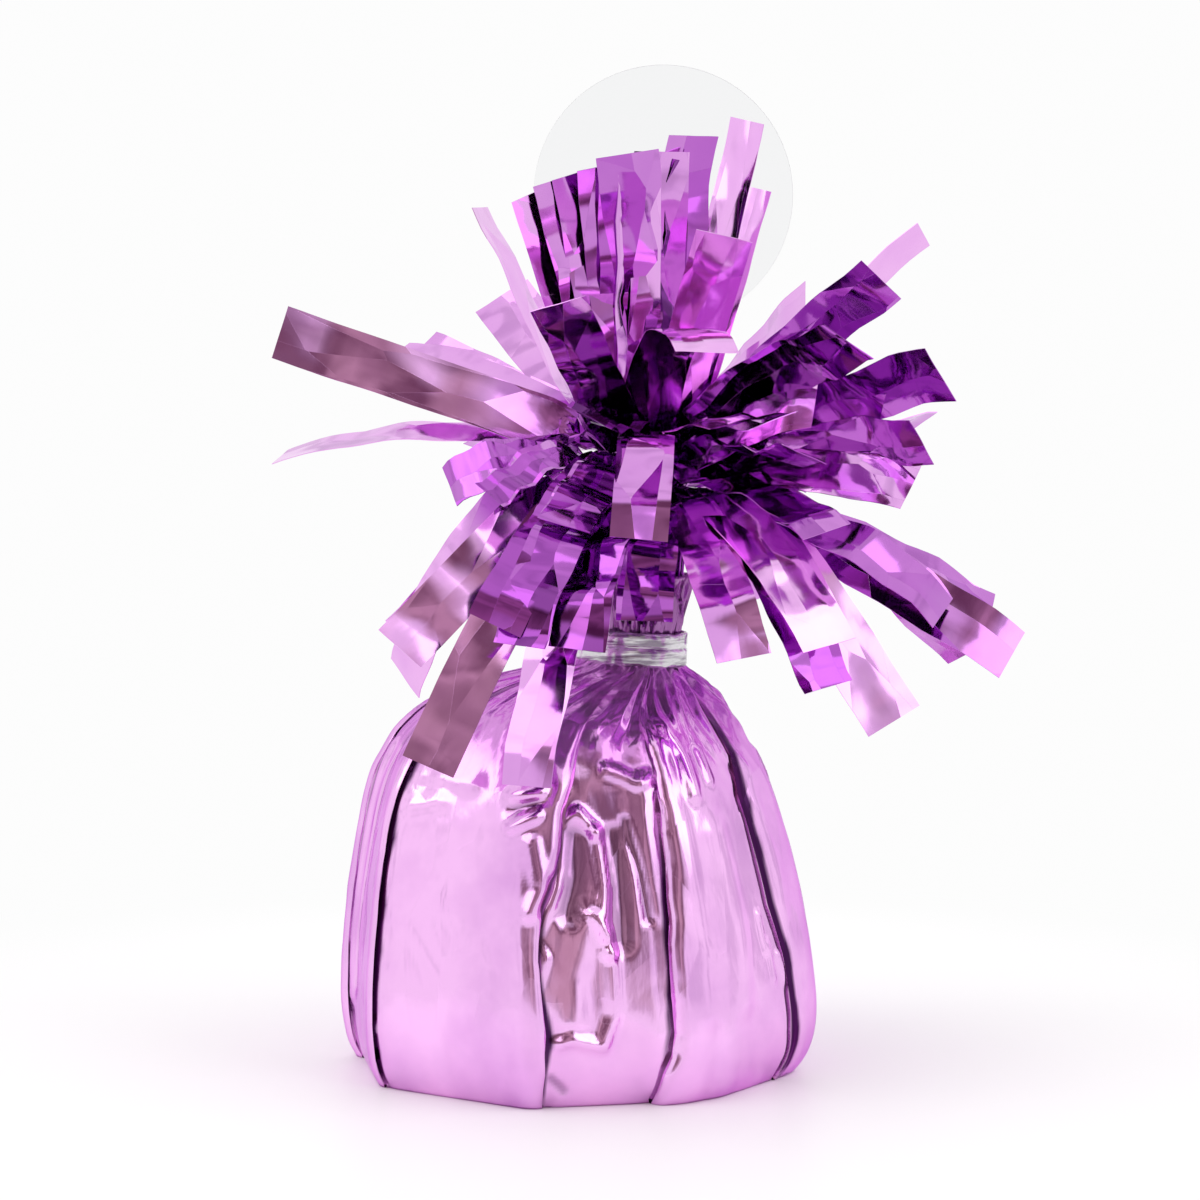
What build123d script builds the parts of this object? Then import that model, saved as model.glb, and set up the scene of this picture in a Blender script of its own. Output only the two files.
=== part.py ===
from build123d import *
import os
from math import cos, pi, radians, sin

# Foil-wrapped balloon weight. A cast slug stands in a pouch of metallised film with eight pleats.
# The film is tied at the neck with a clear band, and above the tie it is slit into a burst of strips.
# A clear ribbon tab stands up behind the upright strips, its tongue clamped in the tied neck.
# The origin is the middle of the base on the floor, +Z is up and the photographed front faces -Y.

os.makedirs("parts", exist_ok=True)

# Film and fits
FILM = 0.3                  # modelled film, thicker than the real sheet
SLUG_CLEARANCE = 0.25       # slug to the inside of the pouch walls
TONGUE_CLEARANCE = 0.1      # tongue to the sides of its slot
FLEX_GAP = 0.3              # fixed tongue to the part of the tab that leans

# Pouch: corner radii of the eight-sided wrap, each with its rise above the level below
POUCH_SIDES = 8
PLEAT_HEADING = -101.0      # heading of the front pleat, seen from above
BASE_RADIUS = 31.6
BELLY_RADIUS = 33.9
BELLY_RISE = 8.0
WAIST_RADIUS = 32.3
WAIST_RISE = 17.0
SHOULDER_RADIUS = 28.3
SHOULDER_RISE = 17.0
CROWN_RADIUS = 22.3
CROWN_RISE = 8.5
COLLAR_RADIUS = 11.0
COLLAR_RISE = 4.7
NECK_RADIUS = 7.2
NECK_RISE = 1.5

# Pleats, each a lip of film; every other panel laps over both its neighbours
PLEAT_LAP = 2.6
PLEAT_LIFT = 0.8
PLEAT_HEEL_SHARE = 0.45

# Slug, whose top lies between the shoulder and the crown
SLUG_TOP_SHARE = 0.5

# Tied neck, which stands off the middle of the base and leans to the right
NECK_SHIFT = 8.0
NECK_LEAN = 4.0
NECK_LIP = 0.8              # gathered film that shows above the band

# Clear band, two stacked turns of tape
BAND_WIDTH = 4.8
BAND_WALL = 0.7
BAND_GROOVE = 0.25
BAND_GROOVE_HEIGHT = 2.7

# Clear ribbon tab
TAB_DIAMETER = 36.0
TAB_THICKNESS = 0.6
TAB_CENTRE_HEIGHT = 65.2    # above the foot of the neck
TAB_SETBACK = 0.7           # middle of the sheet behind the middle of the neck
TONGUE_WIDTH = 4.2
TONGUE_DEPTH = 4.0
TAB_PIVOT_HEIGHT = 24.0     # above the foot of the neck

# Fringe
STRIP_LENGTH = 67.0
STRIP_WIDTH = 7.6
STEM_WIDTH = 0.9
STEM_THICKNESS = 0.4
STEM_BEND = 6.0
STEM_LAP = 0.8              # how far a strip reaches back into its gathered stem
FLARE_LENGTH = 12.0
RING_INSET = 0.8            # outer ring of roots in from the side of the neck
RING_STEP = 1.0
OUTER_RISE = 14.0
RISE_STEP = 3.0

# One row a strip: ring counted from the outside, seat on that ring, heading, turn from upright,
# roll of the face about the strip, curl along it, positive where it lifts, and the share of the
# full length that it is cut to. Two rows on one seat are the tongues of a strip whose slit stops
# short of the tie. Angles in degrees.
FRINGE_ROWS = [
    # upright bundle in front of the tab, from left to right
    (3, 190, 220, 29, 85, 3, 0.95),
    (3, 208, 226, 25, 91, 3, 0.96),
    (3, 226, 230, 22, 95, 3, 0.96),
    (3, 244, 236, 19, 101, 3, 0.97),
    (3, 262, 242, 16, 107, 3, 0.99),
    (3, 280, 259, 11, 124, 3, 1.0),
    (3, 298, 281, 9, 146, 3, 1.0),
    (2, 338, 318, 9, 88, 2, 1.06),
    (2, 180, 168, 34, 8, 4, 0.93),
    # left
    (2, 196, 186, 76, 75, 6, 1.08),
    (1, 170, 168, 78, 20, -36, 1.05),
    (2, 164, 162, 58, 40, -45, 0.95),
    (2, 148, 138, 77, 48, 8, 0.95),
    (2, 130, 124, 60, 40, 8, 0.92),
    # lower left
    (0, 224, 222, 106, 0, -45, 0.92),
    (1, 238, 243, 107, 25, -40, 0.93),
    (0, 245, 249, 104, 5, -52, 0.87),
    (0, 235, 233, 137, 25, -30, 1.07),
    (0, 258, 251, 139, 10, -30, 1.06),
    (0, 268, 255, 110, 0, -52, 0.83),
    (0, 172, 168, 131, 60, -35, 1.0),
    # front
    (1, 270, 269, 42, 0, -122, 0.88),
    (2, 242, 244, 48, -23, -15, 0.95),
    (2, 267, 270, 34, -12, -88, 1.02),
    (0, 279, 270, 122, 0, -56, 0.7),
    (2, 297, 295, 23, 8, -30, 0.95),
    # right
    (2, 9, 8, 42, 24, -4, 1.04),
    (2, 324, 332, 46, 55, -8, 0.95),
    (2, 310, 315, 55, 35, -12, 0.9),
    (1, 340, 341, 64, 65, -10, 0.91),
    (1, 327, 330, 74, 55, -24, 0.91),
    (1, 314, 320, 84, 30, -20, 0.9),
    (2, 281, 290, 74, -20, -16, 0.93),
    # lower right
    (0, 289, 291, 118, -15, -40, 0.82),
    (1, 284, 303, 93, -15, -16, 0.9),
    (0, 311, 309, 122, -20, -30, 0.89),
    (0, 322, 326, 130, -40, -25, 0.97),
    (0, 340, 348, 114, -55, -12, 1.03),
    (0, 353, 3, 108, -40, -12, 0.97),
    (0, 8, 18, 116, 25, -14, 1.0),
    # between those, in front and at the sides
    (0, 300, 307, 107, -15, -38, 0.86),
    (2, 353, 356, 13, 86, 3, 0.93),
    (1, 205, 203, 92, 40, -40, 0.8),
    (1, 221, 219, 88, 20, -50, 0.74),
    (1, 254, 252, 88, 10, -60, 0.7),
    (0, 331, 338, 100, -30, -36, 0.88),
    (1, 353, 354, 82, 30, -26, 0.86),
    (1, 299, 306, 72, 20, -24, 0.8),
    # back
    (2, 50, 52, 50, 70, -6, 0.9),
    (0, 38, 32, 106, 20, -22, 1.0),
    (0, 38, 50, 122, -15, -16, 1.0),
    (0, 81, 70, 106, 25, -24, 1.0),
    (0, 81, 92, 124, -20, -16, 1.0),
    (0, 124, 114, 108, 20, -22, 1.0),
    (0, 124, 134, 122, -25, -16, 1.0),
    (1, 51, 38, 74, 30, -16, 1.0),
    (1, 51, 62, 86, -25, -20, 1.0),
    (1, 103, 88, 74, 20, -18, 1.0),
    (1, 103, 116, 84, -20, -20, 1.0),
    (2, 92, 80, 60, -25, -10, 1.0),
    (2, 92, 106, 58, 20, -10, 1.0),
]

# Heights of the pouch's levels above the floor
belly_height = BELLY_RISE
waist_height = belly_height + WAIST_RISE
shoulder_height = waist_height + SHOULDER_RISE
crown_height = shoulder_height + CROWN_RISE
collar_height = crown_height + COLLAR_RISE
neck_height = collar_height + NECK_RISE
slug_height = shoulder_height + CROWN_RISE * SLUG_TOP_SHARE

# Levels of the pouch from the floor to the neck: height, corner radius, and the shares of the
# neck's shift and lean, and of the pleats' lap, that a level takes
POUCH_LEVELS = [
    (0, BASE_RADIUS),
    (belly_height, BELLY_RADIUS),
    (waist_height, WAIST_RADIUS),
    (shoulder_height, SHOULDER_RADIUS),
    (crown_height, CROWN_RADIUS),
    (collar_height, COLLAR_RADIUS),
    (neck_height, NECK_RADIUS),
]
SHIFT_SHARES = [0, 0, 0, 0, 0, 0.75, 1]
LAP_SHARES = [0.35, 0.6, 0.85, 1, 1, 0.6, 0.3]

# Frames of the neck
lean = radians(NECK_LEAN)
neck_foot = Plane(
    origin=(NECK_SHIFT, 0, neck_height),
    x_dir=(cos(lean), 0, -sin(lean)),
    z_dir=(sin(lean), 0, cos(lean)),
)
neck_length = BAND_WIDTH + NECK_LIP
neck_top = neck_foot.offset(neck_length)


def level_plane(level):
    """Plane of one pouch level, which shifts and leans towards the neck."""
    share = SHIFT_SHARES[level]
    height = POUCH_LEVELS[level][0]
    return Plane(
        origin=(NECK_SHIFT * share, 0, height),
        x_dir=(cos(lean * share), 0, -sin(lean * share)),
        z_dir=(sin(lean * share), 0, cos(lean * share)),
    )


def corners(radius):
    """Corners of an eight-sided section with the pleats' headings."""
    headings = [radians(PLEAT_HEADING + 360 * k / POUCH_SIDES) for k in range(POUCH_SIDES)]
    return [Vector(radius * cos(h), radius * sin(h)) for h in headings]


def pleated_outline(radius, lap_share):
    """Section of the pouch: every other panel ends in two lips, which lap over its neighbours."""
    points = []
    ring = corners(radius)
    for k, corner in enumerate(ring):
        step = 1 if k % 2 == 0 else -1
        along = (ring[(k + step) % POUCH_SIDES] - corner).normalized()
        outward = Vector(along.Y, -along.X) * step
        lip = corner + along * (PLEAT_LAP * lap_share) + outward * (PLEAT_LIFT * lap_share)
        heel = corner + along * (PLEAT_LAP * lap_share * PLEAT_HEEL_SHARE)
        points += [corner, lip, heel][::step]
    return points


def wall_radius(height):
    """Corner radius of the pouch at a height between the floor and the crown."""
    for (low, low_radius), (high, high_radius) in zip(POUCH_LEVELS, POUCH_LEVELS[1:]):
        if low <= height <= high:
            return low_radius + (high_radius - low_radius) * (height - low) / (high - low)
    return NECK_RADIUS


corner_wall = FILM / cos(pi / POUCH_SIDES)

# Pouch of film, closed at the base, with the solid gather of the neck on top
with BuildPart() as foil_wrap:
    for level, (height, radius) in enumerate(POUCH_LEVELS):
        with BuildSketch(level_plane(level)):
            Polygon(*pleated_outline(radius, LAP_SHARES[level]), align=None)
    loft(ruled=True)
    with BuildSketch(neck_foot):
        Circle(NECK_RADIUS)
    extrude(amount=neck_length)
    for height in (FILM, belly_height, waist_height, shoulder_height, crown_height):
        with BuildSketch(Plane.XY.offset(height)):
            Polygon(*corners(wall_radius(height) - corner_wall * 2), align=None)
    loft(ruled=True, mode=Mode.SUBTRACT)
    with BuildSketch(neck_top):
        with Locations((0, TAB_SETBACK)):
            Rectangle(TONGUE_WIDTH + 2 * TONGUE_CLEARANCE, TAB_THICKNESS + 2 * TONGUE_CLEARANCE)
    extrude(amount=-TONGUE_DEPTH, mode=Mode.SUBTRACT)
foil_wrap.part.label = "foil_wrap"
export_step(foil_wrap.part, "parts/foil_wrap.step")

# Cast slug, which stands on the film and follows the eight panels
with BuildPart() as weight_slug:
    for height in (FILM, belly_height, waist_height, shoulder_height, slug_height):
        with BuildSketch(Plane.XY.offset(height)):
            Polygon(*corners(wall_radius(height) - corner_wall * 2 - SLUG_CLEARANCE), align=None)
    loft(ruled=True)
weight_slug.part.label = "weight_slug"
export_step(weight_slug.part, "parts/weight_slug.step")

# Clear band round the neck, with the groove between its two turns
with BuildPart() as neck_band:
    with BuildSketch(neck_foot):
        Circle(NECK_RADIUS + BAND_WALL)
        Circle(NECK_RADIUS, mode=Mode.SUBTRACT)
    extrude(amount=BAND_WIDTH)
    with BuildSketch(Plane(neck_foot.origin, x_dir=neck_foot.x_dir, z_dir=-neck_foot.y_dir)):
        with Locations((NECK_RADIUS + BAND_WALL, BAND_GROOVE_HEIGHT)):
            Rectangle(2 * BAND_GROOVE, 2 * BAND_GROOVE, rotation=45)
    revolve(axis=Axis(neck_foot.origin, neck_foot.z_dir), mode=Mode.SUBTRACT)
neck_band.part.label = "neck_band"
export_step(neck_band.part, "parts/neck_band.step")

# Clear tab: the tongue stays in the neck and the disc with its stem leans back
tab_plane = Plane(
    neck_foot.origin + neck_foot.y_dir * TAB_SETBACK,
    x_dir=neck_foot.x_dir,
    z_dir=-neck_foot.y_dir,
)
tongue_bottom = neck_length - TONGUE_DEPTH

with BuildPart() as tab_tongue:
    with BuildSketch(tab_plane):
        with Locations((0, tongue_bottom)):
            Rectangle(TONGUE_WIDTH, TAB_PIVOT_HEIGHT - tongue_bottom, align=(Align.CENTER, Align.MIN))
    extrude(amount=TAB_THICKNESS / 2, both=True)
tab_tongue.part.label = "tab_tongue"
export_step(tab_tongue.part, "parts/tab_tongue.step")

with BuildPart() as ribbon_tab:
    with BuildSketch(tab_plane):
        with Locations((0, TAB_CENTRE_HEIGHT)):
            Circle(TAB_DIAMETER / 2)
        with Locations((0, TAB_PIVOT_HEIGHT + FLEX_GAP)):
            Rectangle(
                TONGUE_WIDTH,
                TAB_CENTRE_HEIGHT - TAB_PIVOT_HEIGHT - FLEX_GAP,
                align=(Align.CENTER, Align.MIN),
            )
    extrude(amount=TAB_THICKNESS / 2, both=True)
ribbon_tab.part.label = "ribbon_tab"
export_step(ribbon_tab.part, "parts/ribbon_tab.step")

# Fringe: each strip rises from the neck as a gathered stem, bends over and opens out flat
strips = []
for row in FRINGE_ROWS:
    if strips and strips[-1][0][:2] == row[:2]:
        strips[-1].append(row)
    else:
        strips.append([row])

for number, tongues in enumerate(strips, start=1):
    name = f"fringe_strip_{number:02d}"
    with BuildPart() as strip:
        for ring, seat, heading, turn, roll, curl, length_share in tongues:
            ring_radius = NECK_RADIUS - RING_INSET - RING_STEP * ring
            rise = OUTER_RISE + RISE_STEP * ring
            root = neck_top.from_local_coords(
                (ring_radius * cos(radians(seat)), ring_radius * sin(radians(seat)), 0)
            )
            out = neck_top.x_dir * cos(radians(heading)) + neck_top.y_dir * sin(radians(heading))
            side_plane = Plane(root, x_dir=out, z_dir=out.cross(neck_top.z_dir))
            stem_end = side_plane.from_local_coords(
                (STEM_BEND * (1 - cos(radians(turn))), rise + STEM_BEND * sin(radians(turn)), 0)
            )
            course = out * sin(radians(turn)) + neck_top.z_dir * cos(radians(turn))
            upper = side_plane.z_dir.cross(course)
            across = side_plane.z_dir * cos(radians(roll)) + upper * sin(radians(roll))
            edge_plane = Plane(stem_end, x_dir=course, z_dir=across)
            face_plane = Plane(stem_end, x_dir=course, z_dir=across.cross(course))
            blade_length = STRIP_LENGTH * length_share - rise - STEM_BEND * radians(turn)
            curl_radius = blade_length / abs(radians(curl))
            near_radius = curl_radius - FILM / 2 if curl > 0 else curl_radius + FILM / 2
            far_radius = curl_radius + FILM / 2 if curl > 0 else curl_radius - FILM / 2
            with BuildPart(mode=Mode.PRIVATE) as blade:
                with BuildSketch(edge_plane):
                    with BuildLine():
                        upper_lap = Line((-STEM_LAP, FILM / 2), (0, FILM / 2))
                        upper_face = JernArc(upper_lap @ 1, upper_lap % 1, near_radius, curl)
                        lower_lap = Line((-STEM_LAP, -FILM / 2), (0, -FILM / 2))
                        lower_face = JernArc(lower_lap @ 1, lower_lap % 1, far_radius, curl)
                        Line(upper_lap @ 0, lower_lap @ 0)
                        Line(upper_face @ 1, lower_face @ 1)
                    make_face()
                extrude(amount=STRIP_WIDTH / 2, both=True)
                with BuildSketch(face_plane):
                    Polygon(
                        (-STEM_LAP, -STEM_WIDTH / 2),
                        (0, -STEM_WIDTH / 2),
                        (FLARE_LENGTH, -STRIP_WIDTH / 2),
                        (STRIP_LENGTH, -STRIP_WIDTH / 2),
                        (STRIP_LENGTH, STRIP_WIDTH / 2),
                        (FLARE_LENGTH, STRIP_WIDTH / 2),
                        (0, STEM_WIDTH / 2),
                        (-STEM_LAP, STEM_WIDTH / 2),
                        align=None,
                    )
                extrude(amount=STRIP_LENGTH, both=True, mode=Mode.INTERSECT)
            add(blade.part)
            with BuildSketch(side_plane):
                with BuildLine():
                    inner_rise = Line((-STEM_THICKNESS / 2, 0), (-STEM_THICKNESS / 2, rise))
                    inner_bend = JernArc(
                        inner_rise @ 1, inner_rise % 1, STEM_BEND + STEM_THICKNESS / 2, -turn
                    )
                    outer_rise = Line((STEM_THICKNESS / 2, 0), (STEM_THICKNESS / 2, rise))
                    outer_bend = JernArc(
                        outer_rise @ 1, outer_rise % 1, STEM_BEND - STEM_THICKNESS / 2, -turn
                    )
                    Line(inner_rise @ 0, outer_rise @ 0)
                    Line(inner_bend @ 1, outer_bend @ 1)
                make_face()
            extrude(amount=STEM_WIDTH / 2, both=True)
    strip.part.label = name
    export_step(strip.part, f"parts/{name}.step")
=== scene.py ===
import math

import bpy
import numpy as np
from mathutils import Matrix, Vector


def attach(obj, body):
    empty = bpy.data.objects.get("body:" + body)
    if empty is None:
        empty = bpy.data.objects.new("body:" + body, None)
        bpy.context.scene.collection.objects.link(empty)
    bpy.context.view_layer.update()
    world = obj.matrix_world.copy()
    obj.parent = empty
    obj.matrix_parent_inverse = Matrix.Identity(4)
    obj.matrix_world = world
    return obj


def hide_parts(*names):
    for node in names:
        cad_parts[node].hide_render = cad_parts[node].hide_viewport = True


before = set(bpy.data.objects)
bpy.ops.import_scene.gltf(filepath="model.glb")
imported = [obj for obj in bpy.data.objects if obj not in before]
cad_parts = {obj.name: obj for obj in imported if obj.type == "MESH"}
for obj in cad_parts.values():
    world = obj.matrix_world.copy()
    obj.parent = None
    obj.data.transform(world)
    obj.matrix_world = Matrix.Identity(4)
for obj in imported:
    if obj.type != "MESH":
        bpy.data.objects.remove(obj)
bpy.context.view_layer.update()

# Weight slug. A cast plaster block stands inside the pouch and gives the object its weight.
# It is wrapped on all sides, so its CAD solid stays and only gets a chalky finish.


def start_finish(name):
    """A new material with its node tree and its shader."""
    finish = bpy.data.materials.new(name)
    finish.use_nodes = True
    return finish, finish.node_tree, finish.node_tree.nodes["Principled BSDF"]


def set_sockets(tree, node, sockets):
    """Give a node's sockets plain values, or links where the value is another node's output."""
    for socket, value in sockets.items():
        if isinstance(value, bpy.types.NodeSocket):
            tree.links.new(value, node.inputs[socket])
        else:
            node.inputs[socket].default_value = value


def add_node(tree, kind, sockets=None, **options):
    """A new node in a tree, with its options and its sockets set."""
    node = tree.nodes.new(kind)
    for option, value in options.items():
        setattr(node, option, value)
    set_sockets(tree, node, sockets or {})
    return node


def add_ramp(tree, value, *stops):
    """Colours that follow a value from stop to stop, each stop a position and a colour."""
    ramp = add_node(tree, "ShaderNodeValToRGB", {"Fac": value})
    elements = ramp.color_ramp.elements
    for element, (position, colour) in ((elements[0], stops[0]), (elements[1], stops[-1])):
        element.position = position
        element.color = (*colour, 1)
    for position, colour in stops[1:-1]:
        elements.new(position).color = (*colour, 1)
    return ramp.outputs["Color"]


def add_noise(tree, place, scale, detail):
    """Soft random clouds, 0 to 1, at a place."""
    node = add_node(tree, "ShaderNodeTexNoise", {"Vector": place, "Scale": scale, "Detail": detail})
    return node.outputs["Fac"]


plaster, tree, shader = start_finish("cast_plaster")
place = add_node(tree, "ShaderNodeTexCoord").outputs["Object"]
grain = add_noise(tree, place, scale=900, detail=6)
pits = add_node(tree, "ShaderNodeBump", {"Height": grain, "Strength": 0.4, "Distance": 0.0002})
set_sockets(tree, shader, {
    "Base Color": add_ramp(tree, grain, (0, (0.66, 0.65, 0.61)), (1, (0.86, 0.85, 0.82))),
    "Roughness": 0.9,
    "Normal": pits.outputs["Normal"],
})
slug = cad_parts["weight_slug"]
slug.data.materials.clear()
slug.data.materials.append(plaster)

# Foil pouch. One sheet of lavender metallised film is drawn up round the slug: four panels end in
# folded lips that lap over the four panels between them, and the film gathers to the tied neck
# and stands up above the tie as a short crimped collar.
MM = 0.001  # sizes are in mm, the scene is in metres
SIDES = 8
HALF_SIDE = math.pi / SIDES  # half of a side's angle
FIRST_CORNER = -101.0
NECK_SHIFT = 8.0
NECK_LEAN = math.radians(4.0)
NECK_FOOT = 56.7  # heights above the floor
COLLAR_FOOT = 61.0
SLUG_TOP = 46.4
NECK_TOP = 5.6  # heights above the neck's foot
COLLAR_TOP = 12.6
FILM_GAP = 0.12
PANEL_LIFT = 0.6
PANEL_SINK = 0.1
LIP = 0.9
LIP_REST = 0.1
LIP_TURN = 2.0
SHADED_DIP = -0.5  # folds that dip deeper get painted shade
FLAT_RADIUS = 22.0  # nearer to the neck, lips and folds flatten out
GATHERS = 19
GATHER_DEPTH = 1.7
FINE_GATHERS = 47
FINE_DEPTH = 0.9
CRUSH_DEPTH = 2.6
COLUMNS = 60
STATIONS_UP = 170
SMOOTHINGS = 16
BLURS = 9
DICE = 64  # random heights each way, before they repeat

# side of the pouch from the floor to the crimped collar: radius to the corners, height,
# share of the neck's shift and lean, depth of the gathers, roundness
side_line = np.array([
    (31.4, 0.0, 0.04, 0.0, 0.0),
    (32.6, 1.4, 0.06, 0.0, 0.0),
    (33.8, 5.0, 0.1, 0.0, 0.0),
    (34.1, 9.0, 0.1, 0.0, 0.0),
    (33.9, 14.0, 0.08, 0.0, 0.0),
    (33.3, 19.0, 0.06, 0.0, 0.0),
    (32.4, 25.0, 0.03, 0.0, 0.0),
    (31.2, 31.0, 0.0, 0.0, 0.0),
    (29.7, 37.0, -0.04, 0.0, 0.0),
    (28.1, 42.0, -0.06, 0.05, 0.05),
    (25.4, 47.0, -0.06, 0.15, 0.2),
    (22.0, 50.8, 0.05, 0.4, 0.5),
    (16.6, 53.8, 0.4, 0.6, 0.85),
    (11.0, 55.8, 0.8, 0.55, 1.0),
    (7.9, 56.5, 1.0, 0.3, 1.0),
    (6.9, 57.2, 1.0, 0.1, 1.0),
    (6.9, 61.2, 1.0, 0.1, 1.0),
    (7.3, 62.5, 1.0, 0.4, 1.0),
    (7.6, 66.0, 1.0, 0.55, 1.0),
    (8.1, 69.6, 1.0, 0.6, 1.0),
])
steps = np.hypot(np.diff(side_line[:, 0]), np.diff(side_line[:, 1]))
reach = np.concatenate([[0], np.cumsum(steps)])
stations = np.linspace(0, reach[-1], STATIONS_UP)
side = np.stack([np.interp(stations, reach, column) for column in side_line.T], axis=1)
for _ in range(SMOOTHINGS):
    side[1:-1] = 0.25 * side[:-2] + 0.5 * side[1:-1] + 0.25 * side[2:]
radius, height, shift, gather, roundness = (side[:, [k]] for k in range(5))

# lips of the panels: whether the panel before laps over the one after, how wide the gap under the lip
# is, and its line by height, place round the pouch in sides from the front, and strength of painted shade in
# the gap
lips = [
    (True, 0.9, [
        (0, 0.04, 0.9), (10, 0.06, 1), (20, 0.02, 1), (27, 0.04, 0.8),
        (32, 0.13, 0.6), (38, 0.18, 0.25), (45, 0.25, 0.1), (57, 0.3, 0),
    ]),
    (False, 1.0, [
        (0, 0.72, 0.3), (5, 0.75, 0.5), (10, 0.8, 0.8), (15, 0.79, 1),
        (30, 0.82, 1), (36, 0.84, 0.4), (44, 0.87, 0.1), (57, 0.8, 0),
    ]),
    (True, 1.2, [
        (0, 1.7, 1), (11, 1.66, 1), (18, 1.63, 1), (25, 1.56, 1),
        (40, 1.52, 1), (45, 1.6, 1), (49, 1.58, 0.9), (57, 1.5, 0.2),
    ]),
    (False, 1.5, [(0, 2.9, 1), (57, 2.95, 0.5)]),
    (True, 1.5, [(0, 4.1, 1), (57, 4.05, 0.5)]),
    (False, 1.5, [(0, 4.9, 1), (57, 4.95, 0.5)]),
    (True, 1.5, [(0, 6.1, 1), (57, 6.05, 0.5)]),
    (True, 1.3, [(0, 6.96, 1), (24, 6.97, 1), (35, 6.96, 1), (42, 6.98, 1), (57, 7.04, 0.6)]),
]

# how far each corner is rounded, in sides, with the first corner once more at the end
corner_softness = [0.05, 0.2, 0.06, 0.06, 0.06, 0.06, 0.06, 0.05, 0.05]


def lip_line(lip, column):
    """Value of one column of a lip's line at each station of the pouch's side."""
    return np.interp(height, [point[0] for point in lip[2]], [point[column] for point in lip[2]])


def crumple(x, z, across, along, seed):
    """Height, 0 to 1, of film creased into flat triangular facets of that size."""
    dice = np.random.default_rng(seed).random((DICE, DICE))
    u = x / across + 0.35 * np.sin(z / along * 1.7 + seed)
    v = z / along + 0.35 * np.sin(x / across * 1.3 + 2 * seed)
    i, j = np.floor(u).astype(int), np.floor(v).astype(int)
    s, t = u - i, v - j
    near, far = dice[i % DICE, j % DICE], dice[(i + 1) % DICE, (j + 1) % DICE]
    right, over = dice[(i + 1) % DICE, j % DICE], dice[i % DICE, (j + 1) % DICE]
    low = near + s * (right - near) + t * (over - near)
    high = far + (1 - s) * (over - far) + (1 - t) * (right - far)
    return np.where(s + t < 1, low, high)


def crease(x, z, points, width):
    """Height, 0 to 1, of a rounded fold that runs along a line on a panel."""
    total = np.zeros(np.broadcast(x, z).shape)
    for (x0, z0), (x1, z1) in zip(points, points[1:]):
        run_x, run_z = x1 - x0, z1 - z0
        share = np.clip(((x - x0) * run_x + (z - z0) * run_z) / (run_x ** 2 + run_z ** 2), 0, 1)
        gap = np.hypot(x - x0 - share * run_x, z - z0 - share * run_z)
        total = np.maximum(total, np.clip(1 - gap / width, 0, 1))
    return total ** 2 * (3 - 2 * total)


# folds of each panel: line in mm from the middle of the side and from the floor, half width, and how
# far the fold stands out or dips; the back panels share one set, mirrored and shifted from panel to panel
front_folds = [
    ([(-11, 24), (-8.2, 29.6), (-7.1, 38), (-4.3, 39.3), (-2.1, 36.7)], 1.5, 0.9),
    ([(-2.1, 36.7), (-1.7, 29.6), (-2.2, 25), (-1.4, 21)], 1.5, 0.9),
    ([(-1.4, 21), (-1.4, 12.5), (-2.9, 8.5), (-7.1, 9.5), (-10.6, 8.6)], 1.5, 0.8),
    ([(-5, 36), (-5.4, 31), (-6.5, 26)], 2.6, -0.7),
    ([(-4, 26), (-6.4, 18), (-6.8, 12)], 3.0, 0.5),
    ([(0.6, 36), (0.6, 29), (0.4, 22)], 2.4, -0.7),
    ([(5, 42), (5.8, 34), (6.6, 26)], 2.6, 0.6),
    ([(2.1, 38), (3.5, 31), (4.2, 25)], 1.1, -0.6),
    ([(0.3, 44.5), (4, 43), (7.4, 44)], 1.8, 0.8),
    ([(-2.2, 52.6), (-4.8, 47.3), (-5.9, 43.9), (-6.3, 39.9)], 1.2, 0.9),
    ([(-9.8, 4.3), (-7.8, 2.4)], 1.0, -0.7),
    ([(-3.4, 26), (-1.8, 23)], 1.2, 0.8),
    ([(-11.4, 23), (-10.2, 20.5), (-11.2, 17)], 1.1, 0.8),
]
left_folds = [
    ([(8.6, 41.7), (12.2, 42.1)], 1.4, 0.8),
    ([(9.1, 37.3), (12.2, 39)], 1.4, 0.8),
    ([(8.9, 39.5), (12, 40.5)], 1.2, -0.6),
    ([(12.2, 35.6), (14, 29.5), (12.7, 26.4)], 1.7, 0.6),
    ([(-7.5, 44), (1.8, 43)], 2.6, 0.4),
    ([(-8.5, 39), (-3.3, 40)], 2.2, 0.35),
]
right_folds = [
    ([(-13.7, 39), (-13.2, 26), (-13.7, 12)], 3.2, 0.35),
    ([(-6.6, 36), (-6, 25), (-7, 13)], 3.4, 0.35),
    ([(-9, 50), (-8.5, 46), (-9.5, 41)], 1.9, 0.7),
    ([(-5, 46.5), (-5.3, 42.5)], 1.4, 0.5),
    ([(-1, 24), (-0.6, 19)], 0.9, 0.3),
    ([(0.2, 20), (0.8, 15)], 0.9, 0.3),
    ([(2.5, 18), (4.5, 14)], 1.3, 0.35),
]
far_left_folds = [
    ([(1, 54), (2, 46), (1.5, 36), (0, 25), (-1, 12)], 1.0, -0.9),
    ([(-3, 46), (-4, 30), (-4, 10)], 2.2, 0.6),
]
back_folds = [
    ([(-9, 42), (-7, 33), (-8.5, 24), (-7, 12)], 1.7, 0.6),
    ([(-3, 44), (-4, 34), (-2, 26)], 1.5, 0.6),
    ([(-4, 34), (-5.5, 27), (-5, 18)], 1.4, -0.4),
    ([(4, 46), (3, 36), (4.5, 27), (3.5, 14)], 1.8, 0.7),
    ([(8, 40), (9.5, 32), (8, 22)], 1.5, -0.4),
    ([(0, 22), (2, 15), (-1, 9)], 1.6, 0.5),
]
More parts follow.
